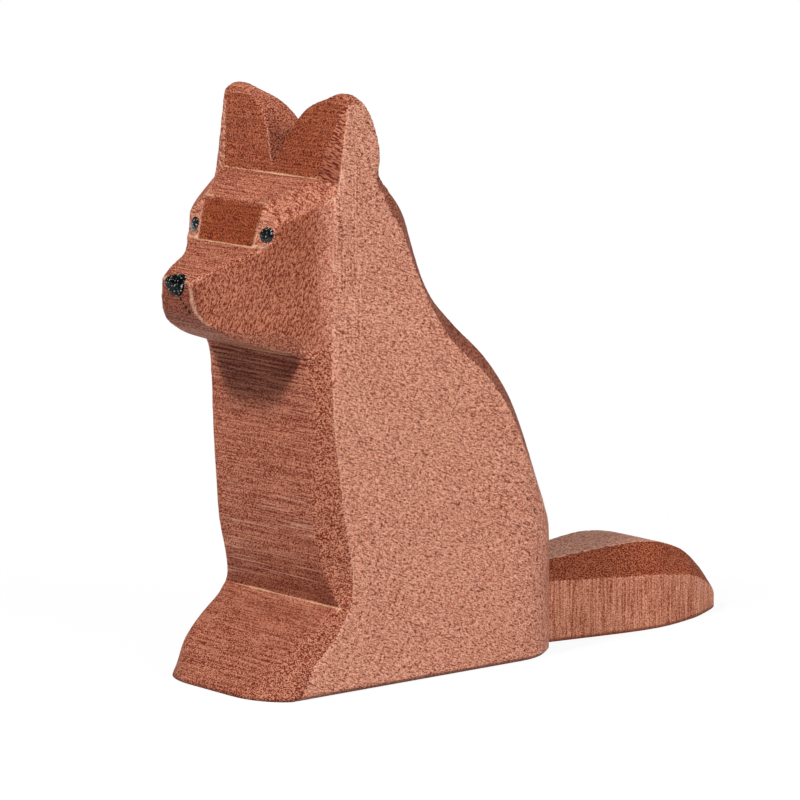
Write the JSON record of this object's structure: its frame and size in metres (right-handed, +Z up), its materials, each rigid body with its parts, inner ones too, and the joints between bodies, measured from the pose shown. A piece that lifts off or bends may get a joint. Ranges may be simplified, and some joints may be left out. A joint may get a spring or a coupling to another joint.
{
  "type": "dog figurine",
  "caption": "Carved wooden dog sitting upright, with pricked ears, a faceted muzzle and a leaf-shaped tail doweled on behind; a free-standing ornament for a shelf.",
  "frame": {"origin": "middle of the body's base, on the surface that the dog stands on", "axes": "+Z up, -Y ahead towards the nose and +Y back along the tail, +X towards the dog's left side"},
  "size_m": [0.028, 0.1025, 0.0842],
  "materials": {
    "stained_wood": "reddish-brown stain, satin",
    "tail_wood": "reddish-brown stain, satin",
    "bare_wood": "plain, unstained",
    "black_paint": "glossy black paint"
  },
  "bodies": {
    "root": {"body": "stained_wood", "tail": "tail_wood", "tail_dowel": "bare_wood", "left_eye": "black_paint", "right_eye": "black_paint", "nose": "black_paint", "mouth_line": "black_paint"}
  },
  "joints": []
}
